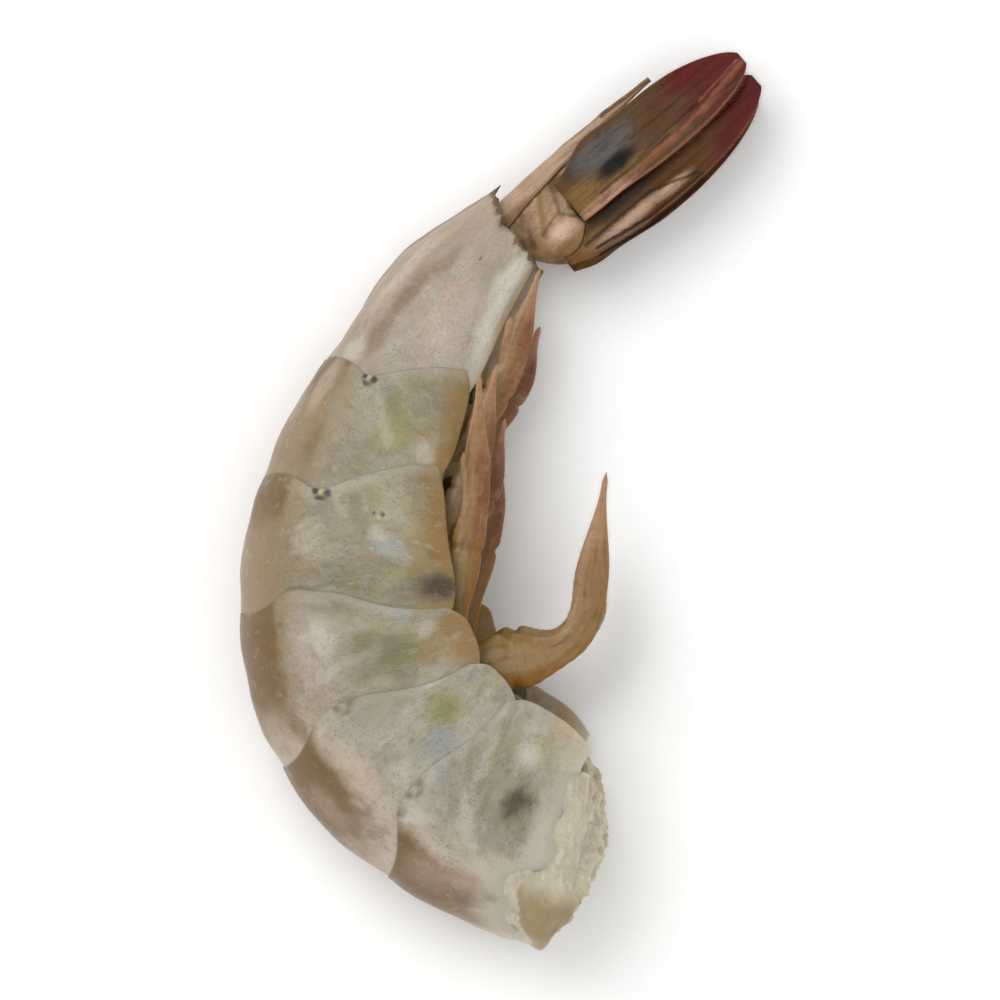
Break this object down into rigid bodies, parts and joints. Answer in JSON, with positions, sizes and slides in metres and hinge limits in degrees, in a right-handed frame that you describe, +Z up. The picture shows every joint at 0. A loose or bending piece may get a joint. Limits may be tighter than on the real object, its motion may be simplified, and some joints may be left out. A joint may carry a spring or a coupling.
{
  "type": "raw headless whiteleg shrimp in its shell",
  "caption": "Raw headless whiteleg shrimp in its shell, curled and lying on its side, with overlapping shell plates, swimmerets and a closed tail fan.",
  "frame": {"origin": "on the surface the shrimp lies on, below the middle of its bounding box", "axes": "+Z up out of the left flank, +Y towards the tail fan, the back is on the -X side and the curl opens to +X"},
  "size_m": [0.0472, 0.0808, 0.0158],
  "materials": {
    "flesh": "moist, soft gloss",
    "shell": "wet, thin and cloudy",
    "tail_shell": "wet, satin",
    "tail_blade": "wet, satin",
    "swimmeret": "wet, satin"
  },
  "bodies": {
    "root": {"flesh": "flesh", "shell_1": "shell", "shell_2": "shell", "shell_3": "shell", "shell_4": "shell", "shell_5": "shell", "shell_6": "shell", "telson": "tail_shell", "tail_stalk_left": "tail_shell", "tail_inner_blade_left": "tail_blade", "tail_outer_blade_left": "tail_blade", "swimmeret_1_left": "swimmeret", "swimmeret_2_left": "swimmeret", "swimmeret_3_left": "swimmeret", "swimmeret_4_left": "swimmeret", "swimmeret_5_left": "swimmeret", "tail_stalk_right": "tail_shell", "tail_inner_blade_right": "tail_blade", "tail_outer_blade_right": "tail_blade", "swimmeret_1_right": "swimmeret", "swimmeret_2_right": "swimmeret", "swimmeret_3_right": "swimmeret", "swimmeret_4_right": "swimmeret", "swimmeret_5_right": "swimmeret"}
  },
  "joints": []
}
